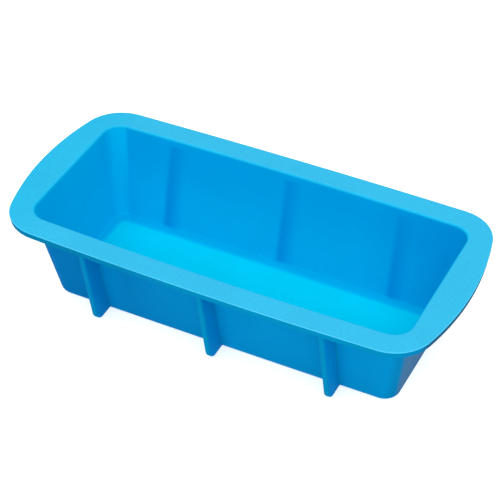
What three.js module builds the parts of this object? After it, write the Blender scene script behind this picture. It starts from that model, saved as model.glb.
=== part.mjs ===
// Loaf-shaped silicone soap mould: one flexible open tub with a broad flat rim and
// three upright stiffening ribs on each long side.
//
// Frame, in millimetres: origin at the middle of the base, +X along the mould,
// +Z up. The front long side faces -Y.
//
// The real mould is a single moulding. Here each of its regions is a closed solid
// of its own: the rim, two long walls, two end walls, four corners, the base and
// the six ribs. Neighbouring regions share their cut faces exactly.

import * as THREE from "three";

// ---------------------------------------------------------------- dimensions

const HEIGHT = 60;                  // base to the top of the rim

const RIM_LENGTH = 260;
const RIM_WIDTH = 125;
const RIM_THICKNESS = 4;
const RIM_END_BOW = 12.2;           // how far the rim's short ends bulge outwards
const RIM_SIDE_BOW = 2.6;           // and its long sides
const RIM_CORNER_RADIUS = 24.4;
const RIM_EDGE_RADIUS = 0.6;
const RIM_EDGE_DRAFT = 0.2;           // its edge leans in by this much towards the underside

const TUB_LENGTH = 226.2;           // outside of the walls, at the top of the rim
const TUB_WIDTH = 100.3;
const TUB_TOP_BOW = 1.9;            // bulge of the long walls at the rim
const TUB_BASE_BOW = 0.3;           // and at the base
const TUB_END_BOW = 0.02;           // the end walls are as good as flat
const END_DRAFT = 0.163;            // run inwards for each millimetre down
const SIDE_DRAFT = 0.226;
const TOP_CORNER_RADIUS = 12.4;
const BASE_CORNER_RADIUS = 8.9;

const WALL_THICKNESS = 2;
const FLOOR_THICKNESS = 2;
const FLOOR_FILLET = 4.8;           // inside, between the walls and the floor
const BASE_FILLET = 3;              // outside, round the bottom edge
const MOUTH_RADIUS = 1.5;           // the rolled edge where the rim turns down into the tub

const RIB_SPACING = 70.6;
const RIB_THICKNESS = 3.4;
const RIB_DEPTH_TOP = 10.8;         // how far a rib stands out from the wall under the rim
const RIB_DEPTH_BASE = 12.3;
const RIB_FOOT_RADIUS = 6;
const RIB_GAP = 0.3;                // clearance kept between a rib and the wall behind it

const FILLET_STEPS = 4;
const ARC_POINTS = { end: 3, corner: 8, side: 8 };   // steps along each arc of a quarter outline

// ------------------------------------------------------------------ material

function silicone(colour) {
  return new THREE.MeshStandardMaterial({ color: colour, roughness: 0.48, metalness: 0 });
}

const TOP_BLUE = 0x34bfee;
const WALL_BLUE = 0x0296dc;
const RIB_BLUE = 0x0085c4;

// ------------------------------------------------------------ plan outlines

// Where two circles meet, on the side away from the origin.
function cornerCentre(first, firstRadius, second, secondRadius) {
  const between = second.clone().sub(first);
  const distance = between.length();
  const along = between.normalize();
  const reach = (firstRadius ** 2 - secondRadius ** 2 + distance ** 2) / (2 * distance);
  const rise = Math.sqrt(Math.max(firstRadius ** 2 - reach ** 2, 0));
  const across = new THREE.Vector2(-along.y, along.x);
  const middle = first.clone().addScaledVector(along, reach);
  const options = [rise, -rise].map((step) => middle.clone().addScaledVector(across, step));
  return options.sort((a, b) => b.x + b.y - a.x - a.y)[0];
}

function arcPoints(centre, radius, from, to, steps) {
  return Array.from({ length: steps + 1 }, (_, i) => {
    const angle = from + (to - from) * i / steps;
    return new THREE.Vector2(centre.x + radius * Math.cos(angle), centre.y + radius * Math.sin(angle));
  });
}

// A rectangle with bulging sides and round corners, anticlockwise from the middle of
// its right-hand end. Every quarter is three tangent arcs: end, corner and side.
function outline({ halfLength, halfWidth, endBow, sideBow, corner }) {
  const endRadius = (halfWidth ** 2 + endBow ** 2) / (2 * endBow);
  const sideRadius = (halfLength ** 2 + sideBow ** 2) / (2 * sideBow);
  const endCentre = new THREE.Vector2(halfLength - endRadius, 0);
  const sideCentre = new THREE.Vector2(0, halfWidth - sideRadius);
  const centre = cornerCentre(sideCentre, sideRadius - corner, endCentre, endRadius - corner);
  const endAngle = Math.atan2(centre.y - endCentre.y, centre.x - endCentre.x);
  const sideAngle = Math.atan2(centre.y - sideCentre.y, centre.x - sideCentre.x);
  const quarter = [
    ...arcPoints(endCentre, endRadius, 0, endAngle, ARC_POINTS.end),
    ...arcPoints(centre, corner, endAngle, sideAngle, ARC_POINTS.corner).slice(1),
    ...arcPoints(sideCentre, sideRadius, sideAngle, Math.PI / 2, ARC_POINTS.side).slice(1),
  ];
  const mirrored = (sx, sy) => quarter.map((p) => new THREE.Vector2(p.x * sx, p.y * sy));
  return [
    ...quarter,
    ...mirrored(-1, 1).reverse().slice(1),
    ...mirrored(-1, -1).slice(1),
    ...mirrored(1, -1).reverse().slice(1, -1),
  ];
}

// The tub's outside at a height, moved inwards by an inset, as a level loop of points.
function tubLoop(inset, z) {
  const drop = HEIGHT - z;
  const share = drop / HEIGHT;
  const corner = THREE.MathUtils.lerp(TOP_CORNER_RADIUS, BASE_CORNER_RADIUS, share) - inset;
  const flat = outline({
    halfLength: TUB_LENGTH / 2 - END_DRAFT * drop - inset,
    halfWidth: TUB_WIDTH / 2 - SIDE_DRAFT * drop - inset,
    endBow: TUB_END_BOW,
    sideBow: THREE.MathUtils.lerp(TUB_TOP_BOW, TUB_BASE_BOW, share),
    corner: Math.max(corner, 1),
  });
  return flat.map((p) => new THREE.Vector3(p.x, p.y, z));
}

function rimLoop(inset, z) {
  const flat = outline({
    halfLength: RIM_LENGTH / 2 - inset,
    halfWidth: RIM_WIDTH / 2 - inset,
    endBow: RIM_END_BOW,
    sideBow: RIM_SIDE_BOW,
    corner: RIM_CORNER_RADIUS - inset,
  });
  return flat.map((p) => new THREE.Vector3(p.x, p.y, z));
}

// ------------------------------------------------------------------- solids

function geometryFrom(points, triangles) {
  const geometry = new THREE.BufferGeometry();
  geometry.setAttribute("position", new THREE.Float32BufferAttribute(points.flatMap((p) => p.toArray()), 3));
  geometry.setIndex(triangles);
  geometry.computeVertexNormals();
  return geometry;
}

// Skins between neighbouring rows of points. Rows close on each other when wrapRows is
// set, and each row closes on itself when wrapColumns is set.
function skin(rows, columns, wrapRows, wrapColumns) {
  const triangles = [];
  for (let r = 0; r < rows - (wrapRows ? 0 : 1); r += 1) {
    const above = (r + 1) % rows;
    for (let c = 0; c < columns - (wrapColumns ? 0 : 1); c += 1) {
      const next = (c + 1) % columns;
      triangles.push(r * columns + c, r * columns + next, above * columns + next);
      triangles.push(r * columns + c, above * columns + next, above * columns + c);
    }
  }
  return triangles;
}

// Fills a flat outline with triangles that run round it in the order of its points.
function faceTriangles(points) {
  const flat = points.map((p) => new THREE.Vector2(p.x, p.y));
  return THREE.ShapeUtils.triangulateShape(flat, []).map((t) => t.sort((a, b) => a - b));
}

// A closed ring: every loop is one edge of its cross-section.
function ringSolid(loops) {
  return geometryFrom(loops.flat(), skin(loops.length, loops[0].length, true, true));
}

// A flat slab: loops stacked from the bottom up, with its two faces filled in.
function slabSolid(loops) {
  const size = loops[0].length;
  const triangles = skin(loops.length, size, false, true);
  const top = (loops.length - 1) * size;
  for (const [a, b, c] of faceTriangles(loops[0])) {
    triangles.push(a, c, b);
    triangles.push(top + a, top + b, top + c);
  }
  return geometryFrom(loops.flat(), triangles);
}

// A stretch of a closed ring, between two columns, with its two cut faces filled in.
function stretchSolid(loops, section, from, to) {
  const count = to - from + 1;
  const wrap = loops[0].length;
  const rows = loops.map((loop) => Array.from({ length: count }, (_, i) => loop[(from + i) % wrap]));
  const triangles = skin(rows.length, count, true, false);
  const last = count - 1;
  for (const [a, b, c] of faceTriangles(section)) {
    triangles.push(a * count, b * count, c * count);
    triangles.push(a * count + last, c * count + last, b * count + last);
  }
  return geometryFrom(rows.flat(), triangles);
}

function mesh(name, geometry, colour) {
  const part = new THREE.Mesh(geometry, silicone(colour));
  part.name = name;
  return part;
}

// Inset of a quarter-round edge, at a height above its lower end.
function filletInset(radius, height) {
  const left = Math.max(radius - height, 0);
  return radius - Math.sqrt(radius ** 2 - left ** 2);
}

function steps(from, to, count) {
  return Array.from({ length: count + 1 }, (_, i) => from + (to - from) * i / count);
}

// ---------------------------------------------------------------------- rim

const rimUnderside = HEIGHT - RIM_THICKNESS;

function rim() {
  const roundOff = (angle) => RIM_EDGE_RADIUS * (1 - Math.cos(angle));
  const rise = (angle) => RIM_EDGE_RADIUS * (1 - Math.sin(angle));
  const lowerEdge = steps(Math.PI / 2, 0, FILLET_STEPS).map((angle) => {
    return rimLoop(RIM_EDGE_DRAFT + roundOff(angle), rimUnderside + rise(angle));
  });
  const upperEdge = steps(0, Math.PI / 2, FILLET_STEPS).map((angle) => {
    return rimLoop(roundOff(angle), HEIGHT - rise(angle));
  });
  const mouth = steps(Math.PI / 2, 0, FILLET_STEPS).map((angle) => {
    const inset = WALL_THICKNESS - MOUTH_RADIUS * (1 - Math.cos(angle));
    return tubLoop(inset, HEIGHT - MOUTH_RADIUS * (1 - Math.sin(angle)));
  });
  const throat = tubLoop(WALL_THICKNESS, rimUnderside);
  return mesh("rim_flange", ringSolid([...lowerEdge, ...upperEdge, ...mouth, throat]), TOP_BLUE);
}

// -------------------------------------------------------- walls and corners

const wallProfile = [
  ...steps(FLOOR_THICKNESS, BASE_FILLET, 1).map((z) => [filletInset(BASE_FILLET, z), z]),
  [0, rimUnderside],
  [WALL_THICKNESS, rimUnderside],
  ...steps(Math.PI / 2, 0, FILLET_STEPS).map((angle) => [
    WALL_THICKNESS + FLOOR_FILLET * (1 - Math.sin(angle)),
    FLOOR_THICKNESS + FLOOR_FILLET * (1 - Math.cos(angle)),
  ]),
];

function walls() {
  const loops = wallProfile.map(([inset, z]) => tubLoop(inset, z));
  const section = wallProfile.map(([inset, z]) => new THREE.Vector2(-inset, z));
  const { end, corner, side } = ARC_POINTS;
  const quarter = end + corner + side;
  const cuts = [
    ["right_end_wall", 4 * quarter - end, 2 * end],
    ["rear_right_corner", end, corner],
    ["rear_wall", end + corner, 2 * side],
    ["rear_left_corner", quarter + side, corner],
    ["left_end_wall", 2 * quarter - end, 2 * end],
    ["front_left_corner", 2 * quarter + end, corner],
    ["front_wall", 2 * quarter + end + corner, 2 * side],
    ["front_right_corner", 3 * quarter + side, corner],
  ];
  return cuts.map(([name, from, length]) => {
    return mesh(name, stretchSolid(loops, section, from, from + length), WALL_BLUE);
  });
}

// --------------------------------------------------------------------- base

function base() {
  const levels = steps(0, FLOOR_THICKNESS, FILLET_STEPS);
  return mesh("base_panel", slabSolid(levels.map((z) => tubLoop(filletInset(BASE_FILLET, z), z))), WALL_BLUE);
}

// --------------------------------------------------------------------- ribs

// How far out the long walls stand, at a place along the mould and a height.
function sideFace(x, z) {
  const drop = HEIGHT - z;
  const bow = THREE.MathUtils.lerp(TUB_TOP_BOW, TUB_BASE_BOW, drop / HEIGHT);
  const halfLength = TUB_LENGTH / 2 - END_DRAFT * drop;
  return TUB_WIDTH / 2 - SIDE_DRAFT * drop - bow * (x / halfLength) ** 2;
}

// A rib stands upright against the wall, from the rim's underside to the base, and
// its outer edge slopes in with the wall. Only its outer bottom corner is rounded.
function rib(name, x, side) {
  const wallTop = sideFace(0, rimUnderside);
  const wallFoot = sideFace(0, 0);
  const bowOf = (z) => sideFace(0, z) - sideFace(x, z);
  const edgeTop = wallTop + RIB_DEPTH_TOP;
  const edgeFoot = wallFoot + RIB_DEPTH_BASE;
  const slope = Math.atan2(edgeTop - edgeFoot, rimUnderside);
  const footCentre = edgeFoot + RIB_FOOT_RADIUS * Math.tan(slope) - RIB_FOOT_RADIUS / Math.cos(slope);
  const profile = new THREE.Shape();
  profile.moveTo(wallTop - bowOf(rimUnderside) + RIB_GAP, rimUnderside);
  profile.lineTo(wallFoot - bowOf(0) + RIB_GAP, 0);
  profile.lineTo(footCentre, 0);
  profile.absarc(footCentre, RIB_FOOT_RADIUS, RIB_FOOT_RADIUS, -Math.PI / 2, -slope, false);
  profile.lineTo(edgeTop, rimUnderside);
  profile.closePath();
  const geometry = new THREE.ExtrudeGeometry(profile, {
    depth: RIB_THICKNESS,
    bevelEnabled: false,
    curveSegments: 2 * FILLET_STEPS,
  });
  geometry.translate(0, 0, -RIB_THICKNESS / 2);
  // The profile is drawn as distance out and height, so it is stood up facing its side.
  const outward = new THREE.Vector3(0, side, 0);
  const up = new THREE.Vector3(0, 0, 1);
  const standing = new THREE.Matrix4().makeBasis(outward, up, outward.clone().cross(up));
  const part = mesh(name, geometry, RIB_BLUE);
  part.quaternion.setFromRotationMatrix(standing);
  part.position.x = x;
  return part;
}

const RIB_PLACES = { left: -RIB_SPACING, centre: 0, right: RIB_SPACING };

function ribs() {
  const made = [];
  for (const [row, side] of [["front", -1], ["rear", 1]]) {
    for (const [place, x] of Object.entries(RIB_PLACES)) {
      made.push(rib(`${row}_rib_${place}`, x, side));
    }
  }
  return made;
}

// ------------------------------------------------------------------ assembly

const mould = new THREE.Group();
mould.name = "soap_mould";
mould.add(rim(), ...walls(), base(), ...ribs());

export default mould;
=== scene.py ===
from math import atan2, cos, hypot, pi, radians, sin, sqrt

import bpy
import numpy as np
from mathutils import Matrix, Vector


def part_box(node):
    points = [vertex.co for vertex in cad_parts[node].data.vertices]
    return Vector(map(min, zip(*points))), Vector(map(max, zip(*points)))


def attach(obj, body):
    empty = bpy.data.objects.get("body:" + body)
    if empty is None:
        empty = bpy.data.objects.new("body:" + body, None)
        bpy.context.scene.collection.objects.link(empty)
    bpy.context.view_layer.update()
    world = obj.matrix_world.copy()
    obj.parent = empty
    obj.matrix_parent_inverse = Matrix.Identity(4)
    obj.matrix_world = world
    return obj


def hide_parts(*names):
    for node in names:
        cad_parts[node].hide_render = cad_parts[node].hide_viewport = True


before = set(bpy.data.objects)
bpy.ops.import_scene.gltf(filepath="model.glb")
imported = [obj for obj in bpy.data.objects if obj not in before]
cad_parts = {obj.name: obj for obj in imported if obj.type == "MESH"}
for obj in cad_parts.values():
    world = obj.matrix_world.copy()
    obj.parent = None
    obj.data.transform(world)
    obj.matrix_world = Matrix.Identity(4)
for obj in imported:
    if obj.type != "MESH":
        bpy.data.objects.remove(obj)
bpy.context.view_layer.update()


# --------------------------------------------------------------- the base panel
# The floor of the tub, a flat sheet of pigmented blue silicone with a small round all along
# its bottom edge. It is cast in one shot with the walls, which rise from its rim.

MM = 0.001
BOX_LOW, BOX_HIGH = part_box("rim_flange")
HEIGHT = BOX_HIGH.z
UNDERSIDE = BOX_LOW.z
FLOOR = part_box("base_panel")[1].z

TUB_HALF_LENGTH = 113.1 * MM          # outside of the walls, level with the top of the rim
TUB_HALF_WIDTH = 50.15 * MM
END_DRAFT = 0.163
SIDE_DRAFT = 0.226
TOP_BOW = 1.9 * MM
BASE_BOW = 0.3 * MM
END_BOW = 0.02 * MM
TOP_CORNER = 12.4 * MM
BASE_CORNER = 8.9 * MM
LEAST_CORNER = 1 * MM
BASE_FILLET = 3 * MM
BASE_FILLET_STEPS = 14
STEPS = {"end": 14, "corner": 22, "side": 44}        # along each arc of a quarter of an outline


def arc(centre, radius, start, stop, count):
    angles = np.linspace(start, stop, count + 1)
    return np.c_[centre[0] + radius * np.cos(angles), centre[1] + radius * np.sin(angles)]


def outline(half_length, half_width, end_bow, side_bow, corner):
    """A bowed rectangle with round corners, anticlockwise from the middle of its right end."""
    end_radius = (half_width**2 + end_bow**2) / (2 * end_bow)
    side_radius = (half_length**2 + side_bow**2) / (2 * side_bow)
    end_centre = np.array([half_length - end_radius, 0.0])
    side_centre = np.array([0.0, half_width - side_radius])
    a, b = side_radius - corner, end_radius - corner
    between = end_centre - side_centre
    gap = hypot(*between)
    along = between / gap
    reach = (a * a - b * b + gap * gap) / (2 * gap)
    rise = sqrt(max(a * a - reach * reach, 0.0))
    across = np.array([-along[1], along[0]])
    options = [side_centre + along * reach + across * step for step in (rise, -rise)]
    centre = max(options, key=lambda p: p[0] + p[1])
    end_angle = atan2(*(centre - end_centre)[::-1])
    side_angle = atan2(*(centre - side_centre)[::-1])
    quarter = np.vstack([
        arc(end_centre, end_radius, 0, end_angle, STEPS["end"]),
        arc(centre, corner, end_angle, side_angle, STEPS["corner"])[1:],
        arc(side_centre, side_radius, side_angle, pi / 2, STEPS["side"])[1:],
    ])
    return np.vstack([
        quarter,
        (quarter * [-1, 1])[::-1][1:],
        (quarter * [-1, -1])[1:],
        (quarter * [1, -1])[::-1][1:-1],
    ])


def level(flat, z):
    return np.c_[flat, np.full(len(flat), z)]


def tub_loop(inset, z):
    """The outside of the tub at a height, moved inwards by an inset."""
    drop = HEIGHT - z
    share = drop / HEIGHT
    flat = outline(
        TUB_HALF_LENGTH - END_DRAFT * drop - inset,
        TUB_HALF_WIDTH - SIDE_DRAFT * drop - inset,
        END_BOW,
        TOP_BOW + (BASE_BOW - TOP_BOW) * share,
        max(TOP_CORNER + (BASE_CORNER - TOP_CORNER) * share - inset, LEAST_CORNER),
    )
    return level(flat, z)


def quarter_turn(steps):
    return np.linspace(0, pi / 2, steps + 1)


def base_round(z):
    """How far the round along the bottom edge draws the outside in."""
    short = max(BASE_FILLET - z, 0.0)
    return BASE_FILLET - sqrt(BASE_FILLET**2 - short**2)


# A flexible mould never stands quite true: the ends of its rim lift, its long sides wander
# by well under a millimetre and the walls lean out a little at the mouth, most at the rear.
# The base stays flat.
END_LIFT = 0.6 * MM
SIDE_SINK = 0.25 * MM
TWIST = 0.7 * MM
REAR_LEAN = 0.9 * MM
END_LEAN = 0.35 * MM
REAR_SIDE = (0.0, 0.7)                # where leaning starts and is full, as shares of the rim's half
END_WALLS = (0.6, 0.85)
RIM_ENDS = (0.88, 0.98)               # the flange's own ends don't lean


def ease(value, low, high):
    t = np.clip((value - low) / (high - low), 0, 1)
    return t * t * (3 - 2 * t)


def settle(points):
    """Moves true points to where they lie in the settled mould, the more so the higher up."""
    p = np.array(points, dtype=float)
    along = p[..., 0] / BOX_HIGH.x
    across = p[..., 1] / BOX_HIGH.y
    share = p[..., 2] / HEIGHT
    lift = END_LIFT * along**2 - SIDE_SINK * across**2 + TWIST * along * across
    rear = ease(across, *REAR_SIDE)
    end = ease(abs(along), *END_WALLS) * (1 - ease(abs(along), *RIM_ENDS))
    p[..., 2] += share**2 * lift
    p[..., 1] += share**2 * REAR_LEAN * rear
    p[..., 0] += share**2 * END_LEAN * end * np.sign(along)
    return p


def surface_normals(rows):
    """Outward normals of a grid of points whose columns run round and rows run across."""
    around = np.roll(rows, -1, axis=1) - np.roll(rows, 1, axis=1)
    across = np.gradient(rows, axis=0)
    normals = np.cross(around, across)
    return normals / np.linalg.norm(normals, axis=2, keepdims=True)


def finish_mesh(name, points, faces, normals):
    """Makes the object. Normals hold one list for each face, or None for a flat face."""
    mesh = bpy.data.meshes.new(name)
    mesh.from_pydata([tuple(p) for p in points], [], faces)
    mesh.polygons.foreach_set("use_smooth", [True] * len(faces))
    mesh.update()
    loops = []
    for polygon, given in zip(mesh.polygons, normals):
        if given is None:
            given = [polygon.normal] * len(polygon.vertices)
        loops.extend(tuple(n) for n in given)
    mesh.normals_split_custom_set(loops)
    made = bpy.data.objects.new(name, mesh)
    bpy.context.collection.objects.link(made)
    return made


def sweep(name, bands, columns=None, closed_section=True):
    """A solid swept round the mould. Each band is a smooth strip of loops, and the last
    loop of one band is the first loop of the next. Columns cuts out one stretch of it."""
    bands = [settle(band) for band in bands]
    smooth = [surface_normals(band) for band in bands]
    total = bands[0].shape[1]
    picked = np.arange(total) if columns is None else np.arange(columns[0], columns[1] + 1) % total
    count = len(picked)
    rows = [band[:-1][:, picked] for band in bands]
    if not closed_section:
        rows.append(bands[-1][-1:][:, picked])
    points = np.concatenate(rows).reshape(-1, 3)
    height = len(points) // count
    faces, normals = [], []
    row = 0
    for band, band_normals in zip(bands, smooth):
        for k in range(len(band) - 1):
            above = (row + 1) % height if closed_section else row + 1
            for c in range(count if columns is None else count - 1):
                n = (c + 1) % count
                faces.append((row * count + c, row * count + n, above * count + n, above * count + c))
                near, far = band_normals[k][picked], band_normals[k + 1][picked]
                normals.append((near[c], near[n], far[n], far[c]))
            row += 1
    if columns is not None:
        faces.append(tuple(r * count for r in range(height)))
        faces.append(tuple(r * count + count - 1 for r in reversed(range(height))))
        normals += [None, None]
    if not closed_section:
        faces.append(tuple(reversed(range(count))))
        faces.append(tuple((height - 1) * count + c for c in range(count)))
        normals += [None, None]
    return finish_mesh(name, points, faces, normals)


class Wire:
    """One output of a shader node, which can be added, multiplied and so on."""

    def __init__(self, recipe, socket):
        self.recipe = recipe
        self.socket = socket

    def _math(self, operation, *values):
        return self.recipe.node("ShaderNodeMath", {"operation": operation}, dict(enumerate(values)))

    def __add__(self, other):
        return self._math("ADD", self, other)

    def __radd__(self, other):
        return self._math("ADD", other, self)

    def __sub__(self, other):
        return self._math("SUBTRACT", self, other)

    def __rsub__(self, other):
        return self._math("SUBTRACT", other, self)

    def __mul__(self, other):
        return self._math("MULTIPLY", self, other)

    def __rmul__(self, other):
        return self._math("MULTIPLY", other, self)

    def __abs__(self):
        return self._math("ABSOLUTE", self)


class Recipe:
    """The node tree of one material."""

    def __init__(self, name):
        self.material = bpy.data.materials.new(name)
        self.material.use_nodes = True
        self.tree = self.material.node_tree
        self.tree.nodes.clear()

    def node(self, kind, settings=None, sockets=None, out=0):
        """Makes a node: its settings first, then the values or links of its sockets."""
        made = self.tree.nodes.new(kind)
        for key, value in (settings or {}).items():
            setattr(made, key, value)
        for key, value in (sockets or {}).items():
            if isinstance(value, Wire):
                self.tree.links.new(value.socket, made.inputs[key])
            elif isinstance(value, tuple):
                made.inputs[key].default_value = (*value, 1.0)
            else:
                made.inputs[key].default_value = value
        return Wire(self, made.outputs[out]) if len(made.outputs) else None

    def ramp(self, value, low, high):
        """0 below low and 1 above high, easing in between. High may be the smaller one."""
        limits = {0: value, 1: low, 2: high, 3: 0.0, 4: 1.0}
        return self.node("ShaderNodeMapRange", {"interpolation_type": "SMOOTHSTEP"}, limits)

    def blend(self, factor, first, second):
        """A colour between two others."""
        return self.node("ShaderNodeMix", {"data_type": "RGBA"}, {0: factor, 6: first, 7: second}, out=2)

    def noise(self, size, detail, roughness):
        """Random mottling of about the given size, fixed to the piece."""
        place = self.node("ShaderNodeTexCoord", out=3)
        sockets = {"Vector": place, "Scale": 1 / size, "Detail": detail, "Roughness": roughness}
        return self.node("ShaderNodeTexNoise", {}, sockets)


# Painted shade where a face looks partly sideways, as round the corners.
OUTER_CORNER_SHADE_BLUE = (0.0, 0.19, 0.41)
# Painted shade on what looks down.
UNDERSIDE_SHADE_BLUE = (0.0, 0.21, 0.50)

# How far a face looks sideways, or upwards, where painted light and shade set in and where they are
# full.
CORNER_TURN = (0.3, 0.8)
END_TURN = (0.82, 0.97)
WALL_TILT = (0.6, 0.3)
UNDERSIDE_TILT = (-0.4, -0.95)

CLOUD_SIZE = 35 * MM
CLOUD_LIMITS = (0.35, 0.7)
CLOUD_SHARE = 0.3
GRAIN_SIZE = 0.7 * MM
GRAIN_LIMITS = (0.35, 0.65)
GRAIN_SHARE = 0.4
MOTTLE_HUE = 0.503                    # 0.5 keeps the hue as it is
MOTTLE_VALUE = 0.90
GRAIN_DEPTH = 0.03 * MM
RIPPLE_SIZE = 18 * MM
RIPPLE_DEPTH = 0.1 * MM
RELIEF = 0.6
ROUGHNESS = 0.46
GRAIN_ROUGHNESS = 0.06
CLOUD_ROUGHNESS = 0.10
SILICONE_IOR = 1.41
GLOSS = 0.003
GLOSS_TINT = (0.3, 0.8, 1.0)
SHEEN_ROUGHNESS = 0.4


class Silicone(Recipe):
    """Blue silicone, satin and a little cloudy. Side and end blue are the painted light and shade
    of its upright faces, by which way they look. Other painted light and shade goes over them,
    before or after it is mottled."""

    def __init__(self, name, side_blue, end_blue):
        super().__init__(name)
        self.x, self.y, self.z = self.split(self.node("ShaderNodeTexCoord", out=3))
        self.right, self.rear, self.up = self.split(self.node("ShaderNodeTexCoord", out=1))
        self.sideways = abs(self.right)
        self.upright = self.ramp(self.up, *WALL_TILT)
        self.cloud = self.noise(CLOUD_SIZE, 3.0, 0.5)
        self.grain = self.noise(GRAIN_SIZE, 2.0, 0.6)
        # Painted light and shade by which way an upright face looks.
        self.colour = self.blend(self.ramp(self.sideways, *CORNER_TURN), side_blue, OUTER_CORNER_SHADE_BLUE)
        self.paint(self.ramp(self.sideways, *END_TURN), end_blue)

    def split(self, vector):
        return [self.node("ShaderNodeSeparateXYZ", {}, {0: vector}, out=axis) for axis in range(3)]

    def paint(self, mask, blue):
        self.colour = self.blend(mask, self.colour, blue)

    def mottle(self, grain_share=GRAIN_SHARE):
        """Paints shade on what looks down, then clouds and grains all of it."""
        self.paint(self.ramp(self.up, *UNDERSIDE_TILT), UNDERSIDE_SHADE_BLUE)
        sockets = {"Color": self.colour, "Hue": MOTTLE_HUE, "Value": MOTTLE_VALUE}
        deeper = self.node("ShaderNodeHueSaturation", {}, sockets)
        clouds = self.ramp(self.cloud, *CLOUD_LIMITS) * CLOUD_SHARE
        self.paint(clouds + self.ramp(self.grain, *GRAIN_LIMITS) * grain_share, deeper)

    def cast(self, sheen=0.0):
        """Gives it a satin, slightly rippled skin, and returns the finished material."""
        relief = self.grain * GRAIN_DEPTH + self.noise(RIPPLE_SIZE, 1.0, 0.4) * RIPPLE_DEPTH
        bump = self.node("ShaderNodeBump", {}, {"Height": relief, "Distance": 1.0, "Strength": RELIEF})
        rough = ROUGHNESS + (self.grain - 0.5) * GRAIN_ROUGHNESS + (self.cloud - 0.5) * CLOUD_ROUGHNESS
        sockets = {
            "Base Color": self.colour,
            "Roughness": rough,
            "IOR": SILICONE_IOR,
            "Specular IOR Level": GLOSS,
            "Specular Tint": GLOSS_TINT,
            "Coat Weight": sheen,
            "Coat Roughness": SHEEN_ROUGHNESS,
            "Normal": bump,
        }
        shader = self.node("ShaderNodeBsdfPrincipled", {}, sockets)
        self.node("ShaderNodeOutputMaterial", {}, {0: shader})
        return self.material


# Painted light: the floor is painted clearer and greener than any upright face, because light falls
# straight on it.
FLOOR_CYAN = (0.0, 0.445, 0.63)
# The painted light is a little stronger towards the floor's long sides.
FLOOR_EDGE_CYAN = (0.0, 0.475, 0.66)
FLOOR_TILT = (0.80, 0.998)
FLOOR_CHANGE = (10 * MM, 31 * MM)     # from the middle of the floor towards its long sides
EDGE_TEAL = (0.0, 0.215, 0.41)        # narrow outer edges
FLANK_BLUE = (0.0, 0.235, 0.54)       # painted light on faces of solid silicone that look towards the ends
LEFT_SHADE_BLUE = (0.0, 0.12, 0.345)        # painted shade on upright faces farthest to the left
LEFT_SHADE_PLACE = (-30 * MM, -120 * MM)
LEFT_SHADE_SHARE = 0.45


def light_floor(silicone):
    """Paints light on what looks up, on the floor and low in the round that leads to the walls."""
    near_wall = silicone.ramp(abs(silicone.y), *FLOOR_CHANGE)
    cyan = silicone.blend(near_wall, FLOOR_CYAN, FLOOR_EDGE_CYAN)
    silicone.paint(silicone.ramp(silicone.up, *FLOOR_TILT), cyan)


def plain_silicone():
    silicone = Silicone("silicone", EDGE_TEAL, FLANK_BLUE)
    # Painted shade, darker towards the left end.
    deep = silicone.ramp(silicone.x, *LEFT_SHADE_PLACE) * LEFT_SHADE_SHARE
    silicone.paint(deep * silicone.upright, LEFT_SHADE_BLUE)
    light_floor(silicone)
    silicone.mottle()
    return silicone.cast()


def fit_piece(piece, node, material):
    piece.data.materials.append(material)
    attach(piece, "root")
    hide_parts(node)


fillet_levels = BASE_FILLET * (1 - np.cos(quarter_turn(BASE_FILLET_STEPS)))
foot_levels = [z for z in fillet_levels if z < FLOOR] + [FLOOR]
base = sweep("base", [[tub_loop(base_round(z), z) for z in foot_levels]], closed_section=False)
solid_material = plain_silicone()
fit_piece(base, "base_panel", solid_material)


# ------------------------------------------------------------ walls and corners
# Four sloping walls joined by round corners, all about two millimetres thick. They
# spring from the floor in a broad inside round and are cast in one with it.

WALL = 2 * MM
WALL_STEPS = 12
FLOOR_ROUND = 4.8 * MM
FLOOR_ROUND_STEPS = 12

WALL_BLUE = (0.0, 0.235, 0.50)
# Painted shade on the outside of the end walls, with a grey painted reflection in it.
END_WALL_BLUE = (0.045, 0.155, 0.30)
# Painted light on the inside of the tub, lighter than the outside and lighter lower down.
INSIDE_HIGH_BLUE = (0.0, 0.352, 0.71)
INSIDE_LOW_BLUE = (0.0, 0.425, 0.75)
INSIDE_DEPTH = (56 * MM, 16 * MM)         # from the mouth down
CORNER_BLUE = (0.0, 0.455, 0.78)          # painted light inside, on all that looks a little to the right
CORNER_LIMITS = (0.03, 0.2)
BESIDE_END_TURN = (1.0, 0.8)
END_SHARE = 0.5                           # and half as much on the end wall itself
# Painted shade, darker towards the right inside and towards the left outside.
INSIDE_SHADE_BLUE = (0.0, 0.10, 0.46)
INSIDE_SHADE_PLACE = (30 * MM, 120 * MM)
INSIDE_SHADE_SHARE = 0.25
OUTSIDE_SHADE_PLACE = (30 * MM, -120 * MM)
OUTSIDE_SHADE_SHARE = 0.8
INWARD_LIMITS = (2 * MM, -2 * MM)
END_WEIGHT = 0.2                          # the tub is long, so its length counts for less
# Painted shade in the inside round where the walls meet the floor.
CREASE_BLUE = (0.0, 0.35, 0.63)
CREASE_TILT = (0.25, 0.65)


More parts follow.
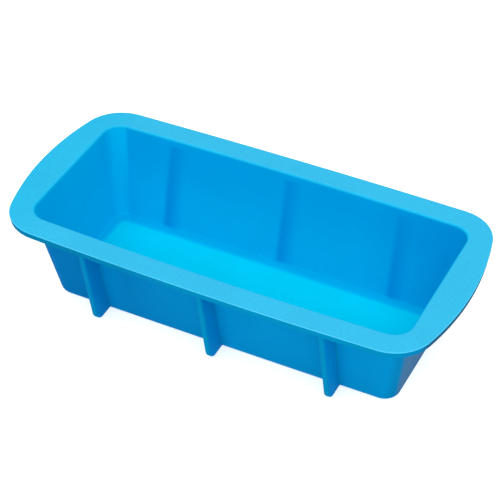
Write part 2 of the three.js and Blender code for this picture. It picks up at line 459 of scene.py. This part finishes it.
def line_tub(silicone, outside_shade_blue):
    """Paints light on the inside of the tub, and painted shade on what stands farthest off both
    inside and outside. Returns how far a face is inside, and how deep in painted shade it is."""
    facing_out = silicone.x * silicone.right * END_WEIGHT + silicone.y * silicone.rear
    inward = silicone.ramp(facing_out, *INWARD_LIMITS)
    low = silicone.ramp(silicone.z, *INSIDE_DEPTH)
    inside_blue = silicone.blend(low, INSIDE_HIGH_BLUE, INSIDE_LOW_BLUE)
    beside_end = silicone.ramp(silicone.sideways, *BESIDE_END_TURN) * (1 - END_SHARE) + END_SHARE
    in_corner = silicone.ramp(silicone.right, *CORNER_LIMITS) * beside_end
    silicone.paint(inward, silicone.blend(in_corner, inside_blue, CORNER_BLUE))
    # Painted shade on upright faces farthest off, to the left outside and to the right inside.
    shade_outside = (1 - inward) * silicone.ramp(silicone.x, *OUTSIDE_SHADE_PLACE) * OUTSIDE_SHADE_SHARE
    shade_inside = inward * silicone.ramp(silicone.x, *INSIDE_SHADE_PLACE) * INSIDE_SHADE_SHARE
    deep = shade_outside + shade_inside
    shade_blue = silicone.blend(inward, outside_shade_blue, INSIDE_SHADE_BLUE)
    silicone.paint(deep * silicone.upright, shade_blue)
    return inward, deep


# Painted shadow: inside, a dark strip runs from behind each rib off to its right, where the
# rib's shadow on the outside shows through the wall, which is thicker behind the rib. Painted
# light: outside, beside the rib, some of the light that went into it comes out of the wall again.
rib_low, rib_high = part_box("front_rib_right")
RIB_SPACING = (rib_low.x + rib_high.x) / 2
RIB_STRIP_PLACES = (-RIB_SPACING - 2.2 * MM, 0.0, RIB_SPACING - 1.8 * MM)
SHADOW_BLUE = (0.0, 0.275, 0.63)
SHADOW_START = (-2.5 * MM, 1.5 * MM)
SHADOW_END = (12.5 * MM, 0.5 * MM)
GLOW_BLUE = (0.0, 0.38, 0.80)
GLOW_START = (-1 * MM, 1 * MM)
GLOW_END = (22 * MM, 4 * MM)
GLOW_SHARE = 0.2


def rib_strips(silicone, start, end):
    """One soft upright strip for each rib, from its start to its end along the wall."""
    strips = 0.0
    for middle in RIB_STRIP_PLACES:
        rise = silicone.ramp(silicone.x, middle + start[0], middle + start[1])
        fall = silicone.ramp(silicone.x, middle + end[0], middle + end[1])
        strips = rise * fall + strips
    return strips


def wall_silicone():
    silicone = Silicone("wall_silicone", WALL_BLUE, END_WALL_BLUE)
    inward, deep = line_tub(silicone, LEFT_SHADE_BLUE)
    # Painted shade in the round down to the floor, then painted light on the floor.
    silicone.paint(silicone.ramp(silicone.up, *CREASE_TILT), CREASE_BLUE)
    light_floor(silicone)
    silicone.mottle()
    # Painted shadow inside, behind and beside each rib.
    shadow = rib_strips(silicone, SHADOW_START, SHADOW_END)
    silicone.paint(shadow * inward * silicone.upright, SHADOW_BLUE)
    # Painted light outside beside each rib, stronger where the painted shade is deeper.
    glow = rib_strips(silicone, GLOW_START, GLOW_END)
    silicone.paint(glow * (1 - inward) * (GLOW_SHARE + deep * GLOW_SHARE), GLOW_BLUE)
    return silicone.cast()


outer_levels = [z for z in fillet_levels if z > FLOOR]
outer_levels = [FLOOR, *outer_levels, *np.linspace(BASE_FILLET, UNDERSIDE, WALL_STEPS + 1)[1:]]
outside = [tub_loop(base_round(z), z) for z in outer_levels]
top_face = [outside[-1], tub_loop(WALL, UNDERSIDE)]
inside = [tub_loop(WALL, z) for z in np.linspace(UNDERSIDE, FLOOR + FLOOR_ROUND, WALL_STEPS + 1)]
for angle in quarter_turn(FLOOR_ROUND_STEPS)[1:]:
    inset = WALL + FLOOR_ROUND * (1 - cos(angle))
    inside.append(tub_loop(inset, FLOOR + FLOOR_ROUND * (1 - sin(angle))))
bottom_face = [inside[-1], outside[0]]

# Where each piece starts along the outline, and how many of its steps it takes.
quarter = sum(STEPS.values())
STRETCHES = {
    "right_end_wall": (4 * quarter - STEPS["end"], 2 * STEPS["end"]),
    "rear_right_corner": (STEPS["end"], STEPS["corner"]),
    "rear_wall": (STEPS["end"] + STEPS["corner"], 2 * STEPS["side"]),
    "rear_left_corner": (quarter + STEPS["side"], STEPS["corner"]),
    "left_end_wall": (2 * quarter - STEPS["end"], 2 * STEPS["end"]),
    "front_left_corner": (2 * quarter + STEPS["end"], STEPS["corner"]),
    "front_wall": (2 * quarter + STEPS["end"] + STEPS["corner"], 2 * STEPS["side"]),
    "front_right_corner": (3 * quarter + STEPS["side"], STEPS["corner"]),
}
wall_material = wall_silicone()
for node, (first, length) in STRETCHES.items():
    piece = sweep(node + "_skin", [outside, top_face, inside, bottom_face], (first, first + length))
    fit_piece(piece, node, wall_material)


# --------------------------------------------------------------------- the rim
# A broad flat flange round the mouth, four millimetres thick, that keeps the tub in
# shape and is gripped at its bulging ends. Its inner edge rolls down into the walls.

RIM_END_BOW = 12.2 * MM
RIM_SIDE_BOW = 2.6 * MM
RIM_CORNER = 24.4 * MM
RIM_DRAFT = 0.4 * MM                  # its edge leans in towards the underside
RIM_TRIM = 0.2 * MM                   # taken off all round the flange
RIM_EDGE = 0.6 * MM
MOUTH_ROUND = 1.5 * MM
MOUTH_STEPS = 10
ROOT_ROUND = 1.6 * MM                 # outside, where the walls run up into the flange
ROOT_TUCK = 0.05 * MM                 # how far inside the walls' face that round ends
ROUND_STEPS = 6

# Painted light on the flat top, which looks up, with a little painted sheen in its red.
RIM_CYAN = (0.018, 0.385, 0.612)
LIP_HIGHLIGHT_CYAN = (0.012, 0.41, 0.67)        # painted highlight just over its edges
ROLL_BLUE = (0.0, 0.31, 0.57)         # painted shade where it rolls down into the tub
EDGE_HIGHLIGHT_CYAN = (0.08, 0.50, 0.72)        # painted highlight, the light line along its outer edge
# Painted shade on the outer edge where it looks towards the ends.
EDGE_NAVY = (0.010, 0.080, 0.155)
# Painted shade on the outer edge farthest to the left.
EDGE_LEFT_SHADE_TEAL = (0.0, 0.145, 0.28)
ROLL_TILT = (0.25, 0.65)
TOP_TILT = (0.45, 0.9)
FLAT_TILT = (0.93, 0.995)
EDGE_TILT = (0.4, 0.7)
EDGE_END_TILT = (0.98, 0.85)
GRAINY_TILT = (0.65, 0.97)
GRAINY_SHARE = 0.5                    # the top shows more of its grain than the walls do
TOP_SHEEN = 0.5                       # a little gloss, on its flat top only
SHEEN_TILT = (0.9, 0.99)
SHEEN_PLACE = (-125 * MM, -85 * MM)
LEAST_SHEEN = 0.2


def rim_silicone():
    silicone = Silicone("rim_silicone", EDGE_TEAL, EDGE_NAVY)
    up = silicone.up
    inward, _ = line_tub(silicone, EDGE_LEFT_SHADE_TEAL)
    # Painted shade where the mouth rolls down into the tub.
    silicone.paint(silicone.ramp(up, *ROLL_TILT), ROLL_BLUE)
    # Painted light on the top, with a painted highlight just over its edges.
    top_cyan = silicone.blend(silicone.ramp(up, *FLAT_TILT), LIP_HIGHLIGHT_CYAN, RIM_CYAN)
    silicone.paint(silicone.ramp(up, *TOP_TILT), top_cyan)
    # Painted highlight along the rounded outer edge.
    edge_highlight = silicone.ramp(up, *EDGE_TILT) * silicone.ramp(up, *EDGE_END_TILT) * (1 - inward)
    silicone.paint(edge_highlight, EDGE_HIGHLIGHT_CYAN)
    silicone.mottle(GRAIN_SHARE + silicone.ramp(up, *GRAINY_TILT) * GRAINY_SHARE)
    along = silicone.ramp(silicone.x, *SHEEN_PLACE) * (1 - LEAST_SHEEN) + LEAST_SHEEN
    return silicone.cast(sheen=silicone.ramp(up, *SHEEN_TILT) * along * TOP_SHEEN)


def rim_loop(inset, z):
    half_length = BOX_HIGH.x - RIM_TRIM - inset
    half_width = BOX_HIGH.y - RIM_TRIM - inset
    return level(outline(half_length, half_width, RIM_END_BOW, RIM_SIDE_BOW, RIM_CORNER - inset), z)


root, lower_edge, upper_edge = [], [], []
for angle in quarter_turn(ROUND_STEPS):
    out, over = 1 - cos(angle), 1 - sin(angle)
    root.append(tub_loop(ROOT_TUCK - ROOT_ROUND * out, UNDERSIDE - ROOT_ROUND * over))
    lower_edge.append(rim_loop(RIM_DRAFT + RIM_EDGE * over, UNDERSIDE + RIM_EDGE * out))
    upper_edge.append(rim_loop(RIM_EDGE * out, HEIGHT - RIM_EDGE * over))
mouth = [
    tub_loop(WALL - MOUTH_ROUND * (1 - sin(angle)), HEIGHT - MOUTH_ROUND * (1 - cos(angle)))
    for angle in quarter_turn(MOUTH_STEPS)
]
throat = tub_loop(WALL, UNDERSIDE)
tuck = tub_loop(ROOT_TUCK, UNDERSIDE)
skin = [*root, *lower_edge, *upper_edge, *mouth, throat]
rim = sweep("rim_skin", [skin, [throat, tuck], [tuck, root[0]]])
fit_piece(rim, "rim_flange", rim_silicone())


# -------------------------------------------------------------------- the ribs
# Three upright ribs on each long side stop the walls from bulging under a full pour.
# Each is a solid blade cast onto the wall and the rim, with soft edges and a flared root.

RIB_HALF = 1.7 * MM
RIB_DEPTH_TOP = 10.8 * MM
RIB_DEPTH_BASE = 12.3 * MM
RIB_FOOT = 6 * MM
RIB_EDGE = 1.0 * MM
RIB_SOLE = 1.2 * MM
RIB_FLARE = 0.8 * MM
SINK = 0.4 * MM                        # how deep the blade's back is buried in the wall
BURY = 0.04 * MM                       # how deep the feather edges of its root are
ROOT_START = radians(3)                # they are cut off here, before they get too thin
RIB_ROUND_STEPS = 6
SOLE_STEPS = 4
FLANK_STEPS = 7
LENGTH_STEPS = 8                       # of the round foot, and of the straight blade above it


def wall_face(x, z):
    drop = HEIGHT - z
    share = drop / HEIGHT
    bow = TOP_BOW + (BASE_BOW - TOP_BOW) * share
    return TUB_HALF_WIDTH - SIDE_DRAFT * drop - bow * (x / (TUB_HALF_LENGTH - END_DRAFT * drop)) ** 2


def rib_slice(x, side, z):
    """The blade's outline at one height, from one end of its back round the front to the other."""
    wall = wall_face(x, z) - base_round(z)
    front = wall_face(0, UNDERSIDE) + RIB_DEPTH_TOP
    foot = wall_face(0, 0) + RIB_DEPTH_BASE
    edge = foot + (front - foot) * z / UNDERSIDE
    if z < RIB_FOOT:
        edge -= RIB_FOOT - sqrt(RIB_FOOT**2 - (RIB_FOOT - z) ** 2)
    half = RIB_HALF
    if z < RIB_SOLE:
        half -= RIB_SOLE - sqrt(RIB_SOLE**2 - (RIB_SOLE - z) ** 2)
    head = min(z - (UNDERSIDE - RIB_FLARE), RIB_FLARE)
    if head > 0:
        swell = RIB_FLARE - sqrt(RIB_FLARE**2 - head**2)
        half += swell
        edge += min(swell, RIM_DRAFT)
    root = wall - BURY
    right = [(half + RIB_FLARE, wall - SINK), (half + RIB_FLARE, root)]
    right += [
        (half + RIB_FLARE * (1 - sin(a)), root + RIB_FLARE * (1 - cos(a)))
        for a in (ROOT_START, *quarter_turn(RIB_ROUND_STEPS)[1:])
    ]
    right += [(half, w) for w in np.linspace(root + RIB_FLARE, edge - RIB_EDGE, FLANK_STEPS + 1)[1:-1]]
    right += [
        (half - RIB_EDGE * (1 - cos(a)), edge - RIB_EDGE * (1 - sin(a)))
        for a in quarter_turn(RIB_ROUND_STEPS)
    ]
    loop = right + [(-u, w) for u, w in reversed(right)]
    return [(x + u * side, w * side, z) for u, w in loop]


def rib(name, x, side):
    low = RIB_SOLE * (1 - np.cos(quarter_turn(SOLE_STEPS)))
    foot = np.linspace(RIB_SOLE, RIB_FOOT, LENGTH_STEPS + 1)[1:]
    shaft = np.linspace(RIB_FOOT, UNDERSIDE - RIB_FLARE, LENGTH_STEPS + 1)[1:]
    head = UNDERSIDE - RIB_FLARE * (1 - np.sin(quarter_turn(RIB_ROUND_STEPS)[1:]))
    slices = [rib_slice(x, side, z) for z in [*low, *foot, *shaft, *head]]
    return sweep(name, [slices], closed_section=False)


for row, side in (("front", -1), ("rear", 1)):
    for place, x in (("left", -RIB_SPACING), ("centre", 0.0), ("right", RIB_SPACING)):
        blade = rib(f"{row}_blade_{place}", x, side)
        fit_piece(blade, f"{row}_rib_{place}", solid_material)


# ------------------------------------------------------- table, light and camera
# A wide table top under white paper that gives off a little light, one big soft lamp and
# a pale sky, and a long lens that looks down on the front side.

TABLE_HALF = 3.0
TABLE_GAP = 0.05 * MM
PAPER_WHITE = (0.72, 0.725, 0.73)
FLECK_WHITE = (0.75, 0.75, 0.75)
FLECK_SCALE = 40.0
FLECK_SHARE = 0.3
PAPER_ROUGHNESS = 0.9
PAPER_GLOW = 0.64


def paper_white():
    paper = Recipe("table_white")
    fleck = paper.node("ShaderNodeTexNoise", {}, {"Scale": FLECK_SCALE, "Detail": 2.0})
    sockets = {
        "Base Color": paper.blend(fleck * FLECK_SHARE, PAPER_WHITE, FLECK_WHITE),
        "Roughness": PAPER_ROUGHNESS,
        "Emission Color": (1.0, 1.0, 1.0),
        "Emission Strength": PAPER_GLOW,
    }
    shader = paper.node("ShaderNodeBsdfPrincipled", {}, sockets)
    paper.node("ShaderNodeOutputMaterial", {}, {0: shader})
    return paper.material


table_mesh = bpy.data.meshes.new("table")
corner_signs = ((-1, -1), (1, -1), (1, 1), (-1, 1))
table_corners = [(x * TABLE_HALF, y * TABLE_HALF, -TABLE_GAP) for x, y in corner_signs]
table_mesh.from_pydata(table_corners, [], [(0, 1, 2, 3)])
table = bpy.data.objects.new("table", table_mesh)
bpy.context.collection.objects.link(table)
table.data.materials.append(paper_white())

SKY_WHITE = (0.96, 0.98, 1.0, 1.0)
SKY_STRENGTH = 0.6

world = bpy.data.worlds.new("daylight")
bpy.context.scene.world = world
world.use_nodes = True
sky = world.node_tree.nodes["Background"]
sky.inputs["Color"].default_value = SKY_WHITE
sky.inputs["Strength"].default_value = SKY_STRENGTH

LAMP_PLACE = Vector((0.1, -0.3, 1.25))
LAMP_SIZE = (2.0, 1.6)
LAMP_WATTS = 24.0

light = bpy.data.lights.new("overhead", "AREA")
light.shape = "RECTANGLE"
light.size, light.size_y = LAMP_SIZE
light.energy = LAMP_WATTS
lamp = bpy.data.objects.new("overhead", light)
lamp.location = LAMP_PLACE
lamp.rotation_euler = (-LAMP_PLACE).to_track_quat("-Z", "Y").to_euler()
bpy.context.collection.objects.link(lamp)

VIEW_AZIMUTH = radians(26.47)
VIEW_HEIGHT = radians(40.28)
VIEW_ROLL = radians(-0.09)
VIEW_DISTANCE = 1.0225
AIM = Vector((0.0048, -0.0080, 0.0490))
SENSOR = 36.0
LENS = 136.0

back = Vector((
    sin(VIEW_AZIMUTH) * cos(VIEW_HEIGHT),
    -cos(VIEW_AZIMUTH) * cos(VIEW_HEIGHT),
    sin(VIEW_HEIGHT),
))
camera_data = bpy.data.cameras.new("camera")
camera_data.sensor_width = SENSOR
camera_data.lens = LENS
camera_data.clip_start = 0.05
camera_data.clip_end = 20.0
camera = bpy.data.objects.new("camera", camera_data)
camera.location = AIM + back * VIEW_DISTANCE
right = Vector((cos(VIEW_AZIMUTH), sin(VIEW_AZIMUTH), 0.0))
upward = back.cross(right)
turn_axes = Matrix((
    right * cos(VIEW_ROLL) + upward * sin(VIEW_ROLL),
    upward * cos(VIEW_ROLL) - right * sin(VIEW_ROLL),
    back,
)).transposed()
camera.rotation_euler = turn_axes.to_euler()
bpy.context.collection.objects.link(camera)
bpy.context.scene.camera = camera
bpy.context.scene.view_settings.view_transform = "Standard"
